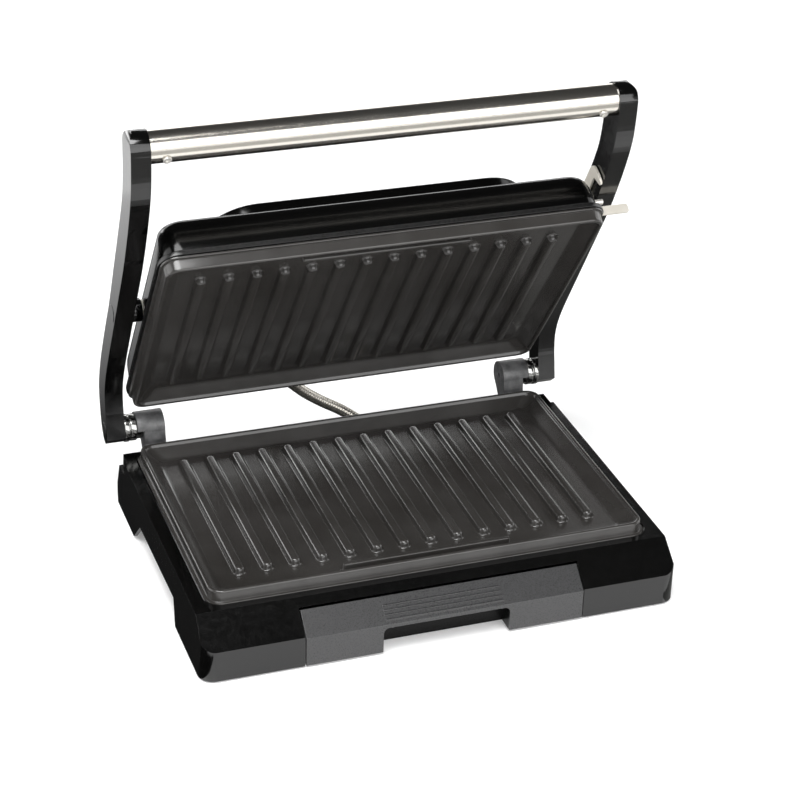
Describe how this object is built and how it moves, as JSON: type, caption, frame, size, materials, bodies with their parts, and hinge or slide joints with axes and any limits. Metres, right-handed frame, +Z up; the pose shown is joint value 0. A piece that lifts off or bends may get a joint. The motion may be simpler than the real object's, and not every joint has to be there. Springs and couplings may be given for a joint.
{
  "type": "panini press",
  "caption": "Contact grill with ribbed plates: black base with a pull-out drip tray, and a floating lid on two curved arms with a steel tube handle.",
  "frame": {"origin": "on the table, under the centre of the lower plate", "axes": "+X to the right of someone using it, +Y towards the hinge, +Z up"},
  "size_m": [0.3357, 0.2692, 0.3078],
  "materials": {
    "gloss_black": "gloss",
    "frame_black": "satin",
    "pan_metal": "satin",
    "rubber": "matte",
    "plate_coating": "satin non-stick",
    "steel": "satin",
    "handle_steel": "brushed",
    "element_metal": "matte",
    "ceramic": "matte",
    "phenolic": "matte",
    "nylon": "satin",
    "wire_sleeve": "woven glass sleeve",
    "knuckle_grey": "matte",
    "tray_grey": "fine texture",
    "conduit_steel": "braided",
    "lamp_red": "gloss",
    "reflector_alu": "plain sheet"
  },
  "bodies": {
    "base": {"base_housing": "gloss_black", "base_pan": "pan_metal", "base_feet": "rubber", "base_screws": "steel", "lower_plate": "plate_coating", "lower_element": "element_metal", "lower_terminals": "ceramic", "lower_reflector": "reflector_alu", "plate_nuts": "steel", "thermostat": "phenolic", "terminal_block": "nylon", "inlet_grommet": "rubber", "base_wiring": "wire_sleeve", "knuckle_left": "knuckle_grey", "knuckle_right": "knuckle_grey", "knuckle_screws": "steel", "ferrule_base": "steel", "conduit": "conduit_steel"},
    "drip_tray": {"drip_tray_front": "tray_grey", "drip_tray_pan": "tray_grey"},
    "arms": {"arm_left": "gloss_black", "arm_right": "gloss_black", "hinge_pins": "steel", "hinge_sleeves": "steel", "hinge_washers": "steel", "arm_caps": "gloss_black", "handle_tube": "handle_steel", "handle_plugs": "frame_black", "handle_screws": "steel", "pivot_spacers": "gloss_black", "pivot_pins": "steel", "pivot_clips": "steel", "latch_rivet": "steel"},
    "lid": {"lid_cover": "gloss_black", "lid_panel": "gloss_black", "indicator_lamps": "lamp_red", "lid_bezel": "frame_black", "upper_plate": "plate_coating", "lid_screws": "steel", "pivot_bushings": "nylon", "upper_element": "element_metal", "upper_terminals": "ceramic", "upper_reflector": "reflector_alu", "thermal_fuse": "ceramic", "latch_stud": "steel", "ferrule_lid": "steel"},
    "latch": {"latch_lever": "steel"}
  },
  "joints": [
    {"name": "tray_slide", "type": "slide", "parent": "base", "child": "drip_tray", "axis": [0, -1, 0], "range_m": [0, 0.12]},
    {"name": "arm_hinge", "type": "hinge", "parent": "base", "child": "arms", "pos_m": [0, 0.112, 0.0525], "axis": [-1, 0, 0], "range_deg": [-59.63, 34.5], "deforming": ["conduit"]},
    {"name": "lid_float", "type": "hinge", "parent": "arms", "child": "lid", "pos_m": [0, 0.07393, 0.16], "axis": [-1, 0, 0], "range_deg": [-4, 6]},
    {"name": "latch_turn", "type": "hinge", "parent": "arms", "child": "latch", "pos_m": [0.1501, 0.04337, 0.21567], "axis": [1, 0, 0], "range_deg": [0, 10]}
  ],
  "couplings": [
    {"joint": "lid_float", "follows": "arm_hinge", "ratio": -0.094468}
  ]
}
